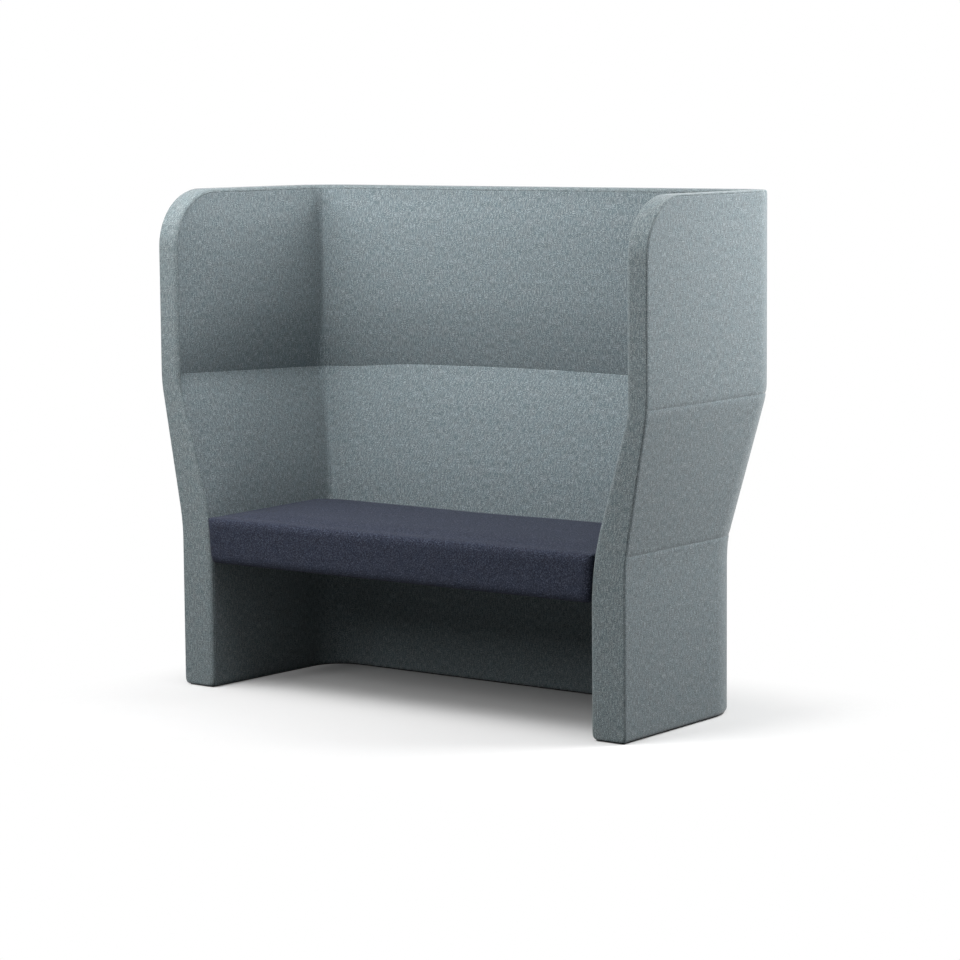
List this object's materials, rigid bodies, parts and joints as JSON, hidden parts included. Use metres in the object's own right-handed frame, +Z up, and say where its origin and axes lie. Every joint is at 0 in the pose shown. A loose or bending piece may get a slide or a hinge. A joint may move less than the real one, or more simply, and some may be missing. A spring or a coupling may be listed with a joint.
{
  "type": "high-back sofa",
  "caption": "Upholstered high-back sofa: a leaning U-shaped wall standing on the floor with a plain seat slab between its sides.",
  "frame": {"origin": "on the floor, under the middle of the overall box", "axes": "+X to the right of a viewer who faces the sofa, front faces -Y, +Z up"},
  "size_m": [1.546, 0.64, 1.3],
  "materials": {
    "wall_fabric": "grey-blue woven wool, flecked, over foam",
    "seat_fabric": "dark navy felted wool, flecked, over foam",
    "lining_cloth": "black non-woven cloth",
    "plywood": "birch plywood, uncoated",
    "timber": "planed softwood, uncoated",
    "base_plastic": "black matte plastic",
    "zinc_steel": "zinc-plated steel"
  },
  "bodies": {
    "root": {"back_rib_left": "plywood", "back_rib_mid_left": "plywood", "back_rib_mid_right": "plywood", "back_rib_right": "plywood", "base_screws": "zinc_steel", "base_strip_back": "base_plastic", "base_strip_left": "base_plastic", "base_strip_right": "base_plastic", "bottom_rail_back": "timber", "bottom_rail_left": "timber", "bottom_rail_right": "timber", "corner_former_left": "plywood", "corner_former_right": "plywood", "corner_gussets_left": "plywood", "corner_gussets_right": "plywood", "edge_band_left": "wall_fabric", "edge_band_right": "wall_fabric", "front_rib_left": "plywood", "front_rib_right": "plywood", "inner_pad_lower_back": "wall_fabric", "inner_pad_lower_left": "wall_fabric", "inner_pad_lower_right": "wall_fabric", "inner_pad_upper_back": "wall_fabric", "inner_pad_upper_left": "wall_fabric", "inner_pad_upper_right": "wall_fabric", "inner_panel_back": "plywood", "inner_panel_left": "plywood", "inner_panel_right": "plywood", "outer_cover_back": "wall_fabric", "outer_cover_left": "wall_fabric", "outer_cover_right": "wall_fabric", "outer_panel_back": "plywood", "outer_panel_left": "plywood", "outer_panel_right": "plywood", "rear_rib_left": "plywood", "rear_rib_right": "plywood", "seat_board": "plywood", "seat_bolts": "zinc_steel", "seat_cushion": "seat_fabric", "seat_frame_back": "timber", "seat_frame_front": "timber", "seat_frame_left": "timber", "seat_frame_right": "timber", "seat_inserts": "zinc_steel", "seat_rail_back": "timber", "seat_rail_left": "timber", "seat_rail_right": "timber", "seat_sleeves": "zinc_steel", "seat_underlining": "lining_cloth", "top_band_back": "wall_fabric", "top_rail_back": "timber", "top_rail_left": "timber", "top_rail_right": "timber"}
  },
  "joints": []
}
